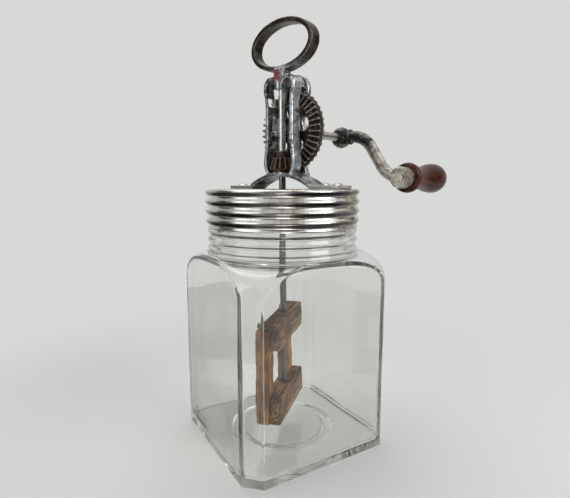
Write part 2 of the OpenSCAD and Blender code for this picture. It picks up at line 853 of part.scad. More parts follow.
module crossbar(z) {
    color([0.52, 0.36, 0.21]) difference() {
        dasher_place() translate([-bar_l / 2, -bar_t / 2, z]) cube([bar_l, bar_t, bar_h]);
        translate([0, 0, shaft_tip_z - face_gap]) cylinder(h = axis_z, r = dasher_shaft_d / 2 + seat_fit);
        dasher_place() {
            bar_pin_holes();
            nail_places() nail_hole();
            slat_block(-1, seat_fit);
            slat_block(1, seat_fit);
        }
    }
}

module upper_crossbar() {
    crossbar(upper_bar_z);
}

module lower_crossbar() {
    crossbar(lower_bar_z);
}

// Nail positions on the outer faces of both slats
module nail_places() {
    for (end = [-1, 1], z = [lower_bar_z, upper_bar_z], row = [-1, 1])
        translate([end * slat_mid + row * nail_step, slat_face + slat_t, z + bar_h / 2 + row * nail_rise])
            rotate([90, 0, 0]) children();
}

// Slat without its nail holes, or the notch that it sits in
module slat_block(end, fit) {
    translate([end * slat_mid - slat_w / 2 - fit, slat_face - fit, slat_low - fit])
        cube([slat_w + 2 * fit, slat_t + 2 * fit, slat_high - slat_low + 2 * fit]);
}

module nail_hole() {
    translate([0, 0, -slack]) cylinder(h = nail_l + slack + face_gap, r = nail_d / 2 + seat_fit);
}

module slat(end) {
    color([0.62, 0.43, 0.24]) dasher_place() difference() {
        slat_block(end, 0);
        nail_places() nail_hole();
    }
}

module near_slat() {
    slat(-1);
}

module far_slat() {
    slat(1);
}

module slat_nails() {
    color("gray") dasher_place() nail_places() {
        cylinder(h = nail_l, r = nail_d / 2);
        translate([0, 0, -nail_head_h]) cylinder(h = nail_head_h, r = nail_head_d / 2);
    }
}

module crossbar_pins() {
    color("gray") dasher_place()
        for (z = [lower_bar_z, upper_bar_z])
            translate([0, 0, z + bar_h / 2]) rotate([90, 0, 0])
                cylinder(h = bar_t, r = pin_d / 2, center = true);
}

glass_jar();
lid_gasket();
screw_lid();
gear_frame();
foot_rivets();
crank_shaft();
drive_gear();
gear_pin();
crank_arm();
crank_pin();
knob_spindle();
crank_knob();
dasher_shaft();
dasher_pinion();
pinion_pin();
thrust_washer();
upper_crossbar();
lower_crossbar();
near_slat();
far_slat();
slat_nails();
crossbar_pins();
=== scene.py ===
import json
import math

import bmesh
import bpy
from mathutils import Matrix, Vector, noise


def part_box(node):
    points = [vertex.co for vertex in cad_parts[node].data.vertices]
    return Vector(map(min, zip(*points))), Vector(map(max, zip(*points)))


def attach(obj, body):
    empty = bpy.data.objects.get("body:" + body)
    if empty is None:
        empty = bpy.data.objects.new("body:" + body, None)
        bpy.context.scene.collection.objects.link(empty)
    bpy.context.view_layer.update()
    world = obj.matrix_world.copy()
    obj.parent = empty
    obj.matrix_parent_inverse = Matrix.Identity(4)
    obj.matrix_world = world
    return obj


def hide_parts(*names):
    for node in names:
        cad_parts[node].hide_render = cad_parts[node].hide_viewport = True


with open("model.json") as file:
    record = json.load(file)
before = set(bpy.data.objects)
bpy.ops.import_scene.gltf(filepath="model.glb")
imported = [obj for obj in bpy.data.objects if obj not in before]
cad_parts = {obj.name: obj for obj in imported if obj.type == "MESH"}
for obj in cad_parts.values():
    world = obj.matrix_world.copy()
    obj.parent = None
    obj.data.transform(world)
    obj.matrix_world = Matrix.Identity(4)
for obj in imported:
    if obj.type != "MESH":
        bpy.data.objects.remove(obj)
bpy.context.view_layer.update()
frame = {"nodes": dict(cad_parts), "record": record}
nodes = frame["nodes"]
scene = bpy.context.scene
scene.view_settings.view_transform = "Standard"
scene.cycles.max_bounces = 48  # light runs a long way inside thick glass
scene.cycles.glossy_bounces = 40
scene.cycles.transmission_bounces = 40
mm = 0.001  # pieces are sized in millimetres, the studio in metres
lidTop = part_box("screw_lid")[1][2] / mm
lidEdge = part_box("screw_lid")[0][2] / mm
joints = {joint["name"]: joint for joint in frame["record"]["behaviour"]["joints"]}
knobPin = [value / mm for value in joints["knob_spin"]["pos_m"]]
jarTurn = -16.6  # degrees, the square jar against the crank
print("frame loaded,", len(nodes), "nodes")


# Small helpers

# A colour's hex code as linear values
def linear(code):
    values = [int(code[i:i + 2], 16) / 255 for i in (1, 3, 5)]
    return [v / 12.92 if v <= 0.04045 else ((v + 0.055) / 1.055) ** 2.4 for v in values] + [1]


# Links sockets or sets their values; a colour is given as its hex code
def wire(tree, node, sockets):
    for key, value in sockets.items():
        if isinstance(value, bpy.types.NodeSocket):
            tree.links.new(value, node.inputs[key])
        else:
            node.inputs[key].default_value = linear(value) if isinstance(value, str) else value


# Adds a node with its settings and links, and gives one output or, with out=None, the node itself.
# Map range sockets: 0 value, 1 and 2 old range, 3 and 4 new range. Mix sockets: 0 share, 6 and 7 colours
def addNode(tree, kind, sockets=None, out=0, **settings):
    node = tree.nodes.new("ShaderNode" + kind)
    for name, value in settings.items():
        setattr(node, name, value)
    wire(tree, node, sockets or {})
    return node if out is None else node.outputs[out]


# A new material with its shader, and the point on the part in millimetres.
# A noise's scale is one over the size of its spots or grain in millimetres
def newFinish(name):
    finish = bpy.data.materials.new(name)
    finish.use_nodes = True
    tree = finish.node_tree
    tree.nodes.clear()
    metres = addNode(tree, "TexCoord", out="Object")
    place = addNode(tree, "VectorMath", {0: metres, 3: 1 / mm}, operation="SCALE")
    shader = addNode(tree, "BsdfPrincipled", out=None)
    addNode(tree, "OutputMaterial", {"Surface": shader.outputs[0]}, out=None)
    return finish, tree, place, shader


# A new smooth object from points in millimetres
def addMesh(name, verts, faces):
    mesh = bpy.data.meshes.new(name)
    mesh.from_pydata([[c * mm for c in v] for v in verts], [], faces)
    mesh.validate()
    mesh.shade_smooth()
    piece = bpy.data.objects.new(name, mesh)
    scene.collection.objects.link(piece)
    return piece


# Flat card, in metres
def addCard(name, wide, high):
    x, y = wide / mm / 2, high / mm / 2
    return addMesh(name, [(-x, -y, 0), (x, -y, 0), (x, y, 0), (-x, y, 0)], [(0, 1, 2, 3)])


# Gives a piece its finish and puts it on its body, in place of CAD nodes
def settle(piece, body, slot, finish, *replaced):
    piece.data.materials.clear()
    piece.data.materials.append(finish)
    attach(piece, body)
    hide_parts(*replaced)


# Turns a closed outline of (radius, height) points about the Z axis, then places it
def turnOnLathe(name, outline, steps, place=Matrix()):
    verts, faces = [], []
    count = len(outline)
    for i in range(steps):
        angle = 2 * math.pi * i / steps
        for r, z in outline:
            verts.append(place @ Vector((r * math.cos(angle), r * math.sin(angle), z)))
    for i in range(steps):
        here, there = i * count, (i + 1) % steps * count
        for j in range(count):
            k = (j + 1) % count
            faces.append((here + j, there + j, there + k, here + k))
    return addMesh(name, verts, faces)


# Copies a CAD node, then rounds and dents it as a sand casting or a worn board is
def softenedCopy(name, node, shape):
    mesh = nodes[node].data.copy()
    build = bmesh.new()
    build.from_mesh(mesh)
    bmesh.ops.remove_doubles(build, verts=build.verts, dist=1e-6)
    build.to_mesh(mesh)
    build.free()
    piece = bpy.data.objects.new(name, mesh)
    scene.collection.objects.link(piece)
    skin = piece.modifiers.new("skin", "REMESH")
    skin.mode = "VOXEL"
    skin.voxel_size = shape["voxel"] * mm
    soften = piece.modifiers.new("soften", "SMOOTH")
    soften.iterations = shape["passes"]
    shaped = bpy.data.meshes.new_from_object(piece.evaluated_get(bpy.context.evaluated_depsgraph_get()))
    piece.modifiers.clear()
    piece.data = shaped
    if shape["dent"]:
        normals = [v.normal.copy() for v in shaped.vertices]
        for v, normal in zip(shaped.vertices, normals):
            v.co += normal * mm * shape["dent"] * noise.noise(v.co / mm / shape["dentSize"])
    shaped.shade_smooth()
    shaped.name = name
    return piece


# Camera and studio

view = dict(place=(-0.2384, -0.2216, 0.1901), forward=(0.7288, 0.6696, -0.1433), lens=27.745)


def addCamera():
    lens = bpy.data.cameras.new("photoCamera")
    lens.lens = view["lens"]
    lens.sensor_width = 36
    lens.clip_start = 0.005
    camera = bpy.data.objects.new("photoCamera", lens)
    camera.location = view["place"]
    camera.rotation_euler = Vector(view["forward"]).to_track_quat("-Z", "Y").to_euler()
    scene.collection.objects.link(camera)
    scene.camera = camera


studio = dict(paper="#d8d9d7", shade="#5c5f64", floorWide=12.0, drop=0.0004, fadeFrom=0.13, fadeTo=0.43,
              aim=(0, 0, 0.17))
lamps = [
    dict(name="rightSoftbox", place=(0.25, -0.75, 0.55), size=0.55, power=4.6),
    dict(name="leftSoftbox", place=(-0.75, 0.25, 0.50), size=0.60, power=1.6),
    dict(name="topSoftbox", place=(0.10, 0.25, 0.95), size=0.70, power=3.2),
]
# Dark cards behind the camera, at both sides and flat beside the jar's walls
flags = [
    dict(name="backFlag", place=(-0.80, -0.75, 0.42), wide=1.3, high=0.8),
    dict(name="leftFlag", place=(-0.50, 0.54, 0.34), wide=0.45, high=0.62),
    dict(name="rightFlag", place=(0.52, -0.56, 0.34), wide=0.45, high=0.62),
    dict(name="lowLeftFlag", place=(-0.158, 0.282, 0.002), wide=0.336, high=0.55, turn=180),
    dict(name="lowRightFlag", place=(0.049, -0.361, 0.002), wide=0.536, high=0.40, turn=270),
]
# White wedge on the table from the jar's front edge that glows though it is no lamp, for one bright line
# along that edge
glint = dict(place=(-0.0627, -0.0426, 0.003), near=0.025, far=0.42, sides=(216, 246), power=4.0)


# Cards show only in reflections
def reflectOnly(card, finish):
    card.visible_camera = False
    card.visible_diffuse = False
    card.visible_shadow = False
    card.visible_transmission = False
    card.data.materials.append(finish)


def addFlags():
    # Black felt: it swallows light, so polished metal and the edges of the glass get dark bands
    finish, tree, place, shader = newFinish("blackFelt")
    nap = addNode(tree, "TexNoise", {"Vector": place, "Scale": 1 / 40, "Detail": 2.0})
    felt = addNode(tree, "Mix", {0: nap, 6: "#232425", 7: "#2f3031"}, out=2, data_type="RGBA")
    wire(tree, shader, {"Base Color": felt, "Roughness": 1.0})
    for flag in flags:
        card = addCard(flag["name"], flag["wide"], flag["high"])
        card.location = flag["place"]
        if "turn" in flag:
            card.rotation_euler.z = math.radians(flag["turn"] + jarTurn)  # lies flat, along a wall of the jar
        else:
            toPart = Vector((-flag["place"][0], -flag["place"][1], 0))
            card.rotation_euler = toPart.to_track_quat("Z", "Y").to_euler()
        reflectOnly(card, finish)


def addGlint():
    # White card that glows by itself, though it is no lamp: even and bright
    finish, tree, place, shader = newFinish("glowingWhiteCard")
    wire(tree, shader, {"Base Color": "#f4f4f2", "Emission Color": "#ffffff",
                        "Emission Strength": glint["power"]})
    low, high = [math.radians(side) for side in glint["sides"]]
    near, far = glint["near"] / mm, glint["far"] / mm
    ends = ((near, low), (far, low), (far, high), (near, high))
    card = addMesh("glintCard", [(r * math.cos(a), r * math.sin(a), 0) for r, a in ends], [(0, 1, 2, 3)])
    card.location = glint["place"]
    reflectOnly(card, finish)


def addStudio():
    floor = addCard("floor", studio["floorWide"], studio["floorWide"])
    floor.location.z = -studio["drop"]  # a hair below the glass, so the two faces don't fight
    # Matt paper: even and pale, and it fades into the background far from the part
    finish, tree, place, shader = newFinish("mattPaper")
    wire(tree, shader, {"Base Color": studio["paper"], "Roughness": 0.9, "Specular IOR Level": 0.1})
    away = addNode(tree, "VectorMath", {0: place}, operation="LENGTH", out="Value")
    fade = addNode(tree, "MapRange", {0: away, 1: studio["fadeFrom"] / mm, 2: studio["fadeTo"] / mm},
                   interpolation_type="SMOOTHSTEP")
    glow = addNode(tree, "Emission", {"Color": studio["paper"]})
    sheet = addNode(tree, "MixShader", {0: fade, 1: shader.outputs[0], 2: glow})
    wire(tree, tree.nodes["Material Output"], {"Surface": sheet})
    floor.data.materials.append(finish)

    world = bpy.data.worlds.new("paperRoom")
    world.use_nodes = True
    scene.world = world
    tree = world.node_tree
    tree.nodes.clear()
    # Pale wherever it is seen, also in metal and through glass; as a light it is darker behind the camera
    ray = addNode(tree, "LightPath", out=None)
    seen = addNode(tree, "Math", {0: ray.outputs["Is Camera Ray"], 1: ray.outputs["Is Transmission Ray"]},
                   operation="MAXIMUM")
    seen = addNode(tree, "Math", {0: seen, 1: ray.outputs["Is Glossy Ray"]}, operation="MAXIMUM")
    toward = addNode(tree, "TexCoord", out="Generated")
    front = addNode(tree, "VectorMath", {0: toward, 1: view["forward"]}, operation="DOT_PRODUCT", out="Value")
    pale = addNode(tree, "MapRange", {0: front, 1: -0.6, 2: 0.5}, interpolation_type="SMOOTHSTEP")
    room = addNode(tree, "Mix", {0: pale, 6: studio["shade"], 7: studio["paper"]}, out=2, data_type="RGBA")
    shown = addNode(tree, "Mix", {0: seen, 6: room, 7: studio["paper"]}, out=2, data_type="RGBA")
    sky = addNode(tree, "Background", {"Color": shown, "Strength": 1.0})
    addNode(tree, "OutputWorld", {"Surface": sky}, out=None)

    for lamp in lamps:
        light = bpy.data.lights.new(lamp["name"], "AREA")
        light.size = lamp["size"]
        light.energy = lamp["power"]
        box = bpy.data.objects.new(lamp["name"], light)
        box.location = lamp["place"]
        box.rotation_euler = (Vector(studio["aim"]) - box.location).to_track_quat("-Z", "Y").to_euler()
        scene.collection.objects.link(box)


addCamera()
addFlags()
addGlint()
addStudio()
print("camera and studio set")


# Glass jar: a square body with cut corners, rolled shoulders, a beaded neck and a ringed floor

jar = dict(half=59.2, corner=10.9, wall=4.0, floor=4.0, shoulder=22.0, neck=53.6, neckHeight=43.5, bore=48.5,
           beadDepth=1.1, beadPitch=6.3, beadStart=4.0, beadFade=2.0, bareNeck=1.0, lip=3.0, fillet=1.5,
           lipCurve=((0.0, 1.2), (0.4, 0.35), (1.2, 0.0)),  # (into the rim, below the mouth)
           boreEnd=4.0, boreFlare=((0.5, 2.0), (1.8, 0.7), (3.4, 0.15)),  # (outwards, above the shoulder)
           footRound=2.2, sideFrom=3.0, floorRound=4.5, arris=0.7, shoulderArris=2.0,
           ring=33.5, ringWidth=5.0, ringDepth=1.4, ringSlope=0.6,
           wave=0.22, waveSize=34.0, waveFrom=8.0, innerShift=3.1,
           grid=dict(around=290, edgeReach=2.4, edgeSteps=12, under=(9, 18, 26), rim=(40, 45), foot=8,
                     side=12, shoulder=40, fillet=5, bare=34, covered=34, bore=4, inner=26,
                     floor=(42, 32, 22, 11)))
grid = jar["grid"]  # how finely each stretch of the glass is drawn
jar["top"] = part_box("glass_jar")[1][2] / mm
jar["side"] = jar["top"] - jar["neckHeight"] - jar["shoulder"]
jar["reach"] = math.hypot(jar["half"], jar["half"] - jar["corner"])  # from the middle to an upright edge
jar["middle"] = jar["reach"] - jar["shoulder"]  # where the shoulder's curve has its centre


# The smaller of two lengths, rounded off where they are nearly the same
def softMin(a, b, reach):
    h = max(reach - abs(a - b), 0) / reach
    return min(a, b) - h * h * reach / 4


# Distance from the middle to the side of the square with cut corners, in a direction
def sideReach(angle, inset):
    c, s = abs(math.cos(angle)), abs(math.sin(angle))
    flat = (2 * jar["half"] - jar["corner"]) / math.sqrt(2) - inset
    return softMin((jar["half"] - inset) / max(c, s), flat * math.sqrt(2) / (c + s), jar["arris"])


# Each row is (round radius or None, inset from the square or None, height)
def outsideRows():
    rows = []
    halfWidth, bevel = jar["ringWidth"] / 2, jar["ringSlope"]
    ringInner = [jar["ring"] - halfWidth + bevel * i for i in (-1, 0, 1, 2)]
    ringOuter = [jar["ring"] + halfWidth + bevel * i for i in (-2, -1, 0, 1)]
    for r in (*grid["under"], *ringInner, *ringOuter, *grid["rim"]):
        edge = abs(r - jar["ring"]) - halfWidth
        rows.append((r, None, jar["ringDepth"] * min(max(0.5 - edge / bevel / 2, 0), 1)))
    for i in range(grid["foot"] + 1):
        a = math.radians(90 * i / grid["foot"])
        rows.append((None, jar["footRound"] * (1 - math.sin(a)), jar["footRound"] * (1 - math.cos(a))))
    low = jar["footRound"] + jar["sideFrom"]
    for i in range(grid["side"]):
        rows.append((jar["reach"], 0, low + (jar["side"] - low) * i / grid["side"]))
    neck = jar["neck"] - jar["beadDepth"]
    reach = jar["shoulder"] + jar["fillet"]
    top = math.acos((neck + jar["fillet"] - jar["middle"]) / reach)
    for i in range(grid["shoulder"] + 1):
        a = top * i / grid["shoulder"]
        z = jar["side"] + jar["shoulder"] * math.sin(a)
        rows.append((jar["middle"] + jar["shoulder"] * math.cos(a), 0, z))
    high = jar["side"] + reach * math.sin(top)
    for i in range(1, grid["fillet"] + 1):
        a = math.pi + top + (math.pi - top) * i / grid["fillet"]
        rows.append((neck + jar["fillet"] * (1 + math.cos(a)), None, high + jar["fillet"] * math.sin(a)))
    # Beads run up the neck, a little prouder below the lid than under it
    last = jar["top"] - jar["lip"]
    firstBead = jar["side"] + jar["shoulder"] + jar["beadStart"]
    heights = [high + (lidEdge - high) * i / grid["bare"] for i in range(1, grid["bare"] + 1)]
    heights += [lidEdge + (last - lidEdge) * i / grid["covered"] for i in range(1, grid["covered"] + 1)]
    for z in heights:
        grow = min(1, (z - high) / jar["beadFade"], (last - z) / jar["beadFade"])
        turn = math.cos(2 * math.pi * (z - firstBead) / jar["beadPitch"])
        wide = jar["bareNeck"] * min(max((lidEdge - z) / jar["beadFade"], 0), 1) * grow
        rows.append((neck + wide + grow * jar["beadDepth"] * (1 + turn) / 2, None, z))
    return rows + [(neck - side, None, jar["top"] - down) for side, down in jar["lipCurve"]]


def insideRows():
    bore = jar["bore"]
    rows = [(bore + side, None, jar["top"] - down) for side, down in reversed(jar["lipCurve"])]
    inner = jar["shoulder"] - jar["wall"]
    under = jar["side"] + inner
    mouth = rows[-1][2]
    for i in range(1, grid["bore"] + 1):
        rows.append((bore, None, mouth + (under + jar["boreEnd"] - mouth) * i / grid["bore"]))
    rows += [(bore + side, None, under + up) for side, up in jar["boreFlare"]]
    for i in range(grid["inner"] + 1):
        a = math.radians(90 - 90 * i / grid["inner"])
        rows.append((jar["middle"] + inner * math.cos(a), jar["wall"], jar["side"] + inner * math.sin(a)))
    bend = jar["floorRound"]
    low = jar["floor"] + bend
    for i in range(1, grid["side"]):
        z = jar["side"] + (low - jar["side"]) * i / grid["side"]
        rows.append((jar["middle"] + inner, jar["wall"], z))
    for i in range(grid["foot"] + 1):
        a = math.radians(90 * i / grid["foot"])
        rows.append((None, jar["wall"] + bend * (1 - math.cos(a)), jar["floor"] + bend * (1 - math.sin(a))))
    return rows + [(r, None, jar["floor"]) for r in grid["floor"]]


# Directions around the jar, close together at its eight upright edges
def jarAngles():
    corner = math.atan2(jar["half"] - jar["corner"], jar["half"])
    turns = [quarter * math.pi / 2 + side for quarter in range(4) for side in (-corner, corner)]
    edges = [turn % (2 * math.pi) for turn in turns]
    reach, steps = grid["edgeReach"] / jar["half"], grid["edgeSteps"]
    angles = [2 * math.pi * i / grid["around"] for i in range(grid["around"])]
    angles = [a for a in angles if all(abs(a - edge) > reach for edge in edges)]
    for edge in edges:
        angles += [edge + reach * i / steps for i in range(-steps, steps + 1)]
    return sorted(angles)


def makeJar():
    rows, angles = outsideRows() + insideRows(), jarAngles()
    around = len(angles)
    verts, faces = [], []
    for r0, inset, z in rows:
        square = inset is not None
        drift = jar["innerShift"] if square and inset >= jar["wall"] else 0  # the two skins wave apart
        for angle in angles:
            r = sideReach(angle, inset) if square else r0
            if square and r0 is not None:
                r = softMin(r, r0, jar["shoulderArris"])
            a = angle + math.radians(jarTurn)
            point = Vector((r * math.cos(a), r * math.sin(a), z))
            if square and z > jar["waveFrom"]:  # pressed glass is never quite even
                sway = jar["wave"] * noise.noise(point / jar["waveSize"] + Vector((drift, 0, 0)))
                point += Vector((math.cos(a), math.sin(a), 0)) * sway
            verts.append(point)
    for row in range(len(rows) - 1):
        here, there = row * around, (row + 1) * around
        for i in range(around):
            k = (i + 1) % around
            faces.append((here + i, here + k, there + k, there + i))
    first, last = len(verts), len(verts) + 1
    verts += [(0, 0, 0), (0, 0, jar["floor"])]
    top = (len(rows) - 1) * around
    for i in range(around):
        k = (i + 1) % around
        faces += [(first, k, i), (last, top + i, top + k)]
    return addMesh("jarGlass", verts, faces)


# Clear soda-lime glass, pressed in a mould: thick and slightly wavy, grey where it is seen edge on
def pressedGlass():
    finish, tree, place, shader = newFinish("pressedSodaLimeGlass")
    film = addNode(tree, "TexNoise", {"Vector": place, "Scale": 1 / 38, "Detail": 3.0})
    haze = addNode(tree, "MapRange", {0: film, 1: 0.52, 2: 0.72, 3: 0.0, 4: 0.02})
    tint = addNode(tree, "Mix", {0: film, 6: "#fefefe", 7: "#f6f6f4"}, out=2, data_type="RGBA")
    swell = addNode(tree, "TexNoise", {"Vector": place, "Scale": 1 / 21, "Detail": 1.0})
    ripple = addNode(tree, "Bump", {"Height": swell, "Strength": 0.25, "Distance": 0.4 * mm})
    wire(tree, shader, {"Base Color": tint, "Roughness": haze, "IOR": 1.52, "Transmission Weight": 1.0,
                        "Normal": ripple})
    # Lamps reach the dasher through the walls
    ray = addNode(tree, "LightPath", out="Is Shadow Ray")
    through = addNode(tree, "BsdfTransparent", {"Color": "#fbfbfa"})
    both = addNode(tree, "MixShader", {0: ray, 1: shader.outputs[0], 2: through})
    depth = addNode(tree, "VolumeAbsorption", {"Color": "#b9bbb7", "Density": 12.0})
    wire(tree, tree.nodes["Material Output"], {"Surface": both, "Volume": depth})
    return finish


settle(makeJar(), "jar", "clear_glass", pressedGlass(), "glass_jar")
print("jar made")


# Screw lid: thin tinned sheet with four rolled ridges and a curled bottom edge

lid = dict(radius=56.0, sheet=0.6, ridge=1.5, pitch=6.6, first=1.7, hole=4.0, curl=0.9, edge=1.3,
           crownRings=(20, 38, 46, 52), underRings=(53, 46, 38, 20), down=90, curlSteps=8, around=256,
           shadeFrom=0.4, shadeFull=1.2, shadeLag=1.25,  # the lag in radians, so that the painted shade lies under each ridge
           stainFrom=10.0, stainFull=-55.0)


def makeLid():
    top, sheet = lidTop, lid["sheet"]
    outside, inside = [], []
    for i in range(lid["down"] + 1):
        down = (top - lidEdge - lid["curl"]) * i / lid["down"]
        turn = 2 * math.pi * (down - lid["first"]) / lid["pitch"]
        r = lid["radius"] - lid["ridge"] / 2 * (1 - math.cos(turn))
        if down < lid["edge"]:
            r -= lid["edge"] - math.sqrt(lid["edge"] ** 2 - (lid["edge"] - down) ** 2)
        outside.append((r, top - down))
        if down > sheet:
            inside.append((r - sheet, top - down))
    endR, endZ = outside[-1]
    curl = []
    for i in range(1, lid["curlSteps"]):
        a = math.pi * i / lid["curlSteps"]
        curl.append((endR - sheet / 2 + sheet / 2 * math.cos(a), endZ - lid["curl"] * math.sin(a)))
    crown = [(lid["hole"], top - sheet), (lid["hole"], top)] + [(r, top) for r in lid["crownRings"]]
    under = [(r, top - sheet) for r in lid["underRings"]]
    return turnOnLathe("lidShell", crown + outside + curl + inside[::-1] + under, lid["around"])


# Hot-dipped tin on thin rolled steel: bright but soft, with painted shade under each ridge, painted
# reflections in upright bands, and tan water stains
def tinnedSteel():
    finish, tree, place, shader = newFinish("dippedTinPlate")
    part = addNode(tree, "SeparateXYZ", {0: place}, out=None).outputs
    cloud = addNode(tree, "TexNoise", {"Vector": place, "Scale": 1 / 9, "Detail": 7.0, "Roughness": 0.62})
    level = addNode(tree, "VectorMath", {0: place, 1: (0.05, 0.05, 1.0)}, operation="MULTIPLY")
    streak = addNode(tree, "TexNoise", {"Vector": level, "Scale": 1 / 1.5, "Detail": 4.0})
    flat = addNode(tree, "VectorMath", {0: place, 1: (1.0, 1.0, 0.1)}, operation="MULTIPLY")
    bandsAndStains = addNode(tree, "TexNoise", {"Vector": flat, "Scale": 1 / 22, "Detail": 5.0, "Roughness": 0.6})
    # Painted shade: a near-black band under each ridge, where the sheet faces down
    phase = addNode(tree, "Math", {0: part[2], 1: lid["first"] - lidTop}, operation="ADD")
    turns = addNode(tree, "Math", {0: phase, 1: 2 * math.pi / lid["pitch"], 2: lid["shadeLag"]},
                    operation="MULTIPLY_ADD")
    crest = addNode(tree, "Math", {0: turns}, operation="COSINE")
    under = addNode(tree, "MapRange", {0: crest, 1: -0.1, 2: 0.8})
    skirt = addNode(tree, "MapRange", {0: part[2], 1: lidTop - lid["shadeFrom"], 2: lidTop - lid["shadeFull"]})
    band = addNode(tree, "Math", {0: under, 1: skirt}, operation="MULTIPLY")
    held = addNode(tree, "MapRange", {0: streak, 1: 0.3, 2: 0.55, 3: 0.6, 4: 1.0})
    ridgeShade = addNode(tree, "Math", {0: band, 1: held}, operation="MULTIPLY")
    # Painted reflection: the tin is lighter and darker in upright bands; the same noise also places the tan
    # stains
    patch = addNode(tree, "MapRange", {0: bandsAndStains, 1: 0.38, 2: 0.62})
    bandedTin = addNode(tree, "Mix", {0: patch, 6: "#f0efed", 7: "#b4b1ac"}, out=2, data_type="RGBA")
    fleck = addNode(tree, "MapRange", {0: cloud, 1: 0.55, 2: 0.68, 4: 0.6})
    spotted = addNode(tree, "Mix", {0: fleck, 6: bandedTin, 7: "#9a958c"}, out=2, data_type="RGBA")
    toRight = addNode(tree, "MapRange", {0: part[1], 1: lid["stainFrom"], 2: lid["stainFull"],
                                         3: -0.14, 4: 0.08})
    wet = addNode(tree, "Math", {0: bandsAndStains, 1: toRight}, operation="ADD")
    stain = addNode(tree, "MapRange", {0: wet, 1: 0.55, 2: 0.68, 4: 0.45})
    tan = addNode(tree, "Mix", {0: stain, 6: spotted, 7: "#a58d69"}, out=2, data_type="RGBA")
    colour = addNode(tree, "Mix", {0: ridgeShade, 6: tan, 7: "#262321"}, out=2, data_type="RGBA")
    rough = addNode(tree, "MapRange", {0: cloud, 1: 0.3, 2: 0.75, 3: 0.14, 4: 0.34})
    # The painted shade is also less metallic
    bare = addNode(tree, "MapRange", {0: ridgeShade, 3: 1.0, 4: 0.7})
    dents = addNode(tree, "Bump", {"Height": cloud, "Strength": 0.3, "Distance": 0.25 * mm})
    wire(tree, shader, {"Base Color": colour, "Metallic": bare, "Roughness": rough, "Normal": dents})
    return finish


settle(makeLid(), "top", "tinned_sheet", tinnedSteel(), "screw_lid")
print("lid made")


# Frame: one iron casting, once plated on the loop and black on the ring; heights are above the lid

casting = dict(voxel=0.55, passes=6, dent=0.12, dentSize=7.0, footTop=2.8, footFade=1.0, archTop=13.4,
               archFade=5.0, ringFrom=80.4, ringTo=87.4, ringSway=14.0,
               redAt=(-1.2, 2.2, 78.9), redFrom=8.0, redTo=5.0)


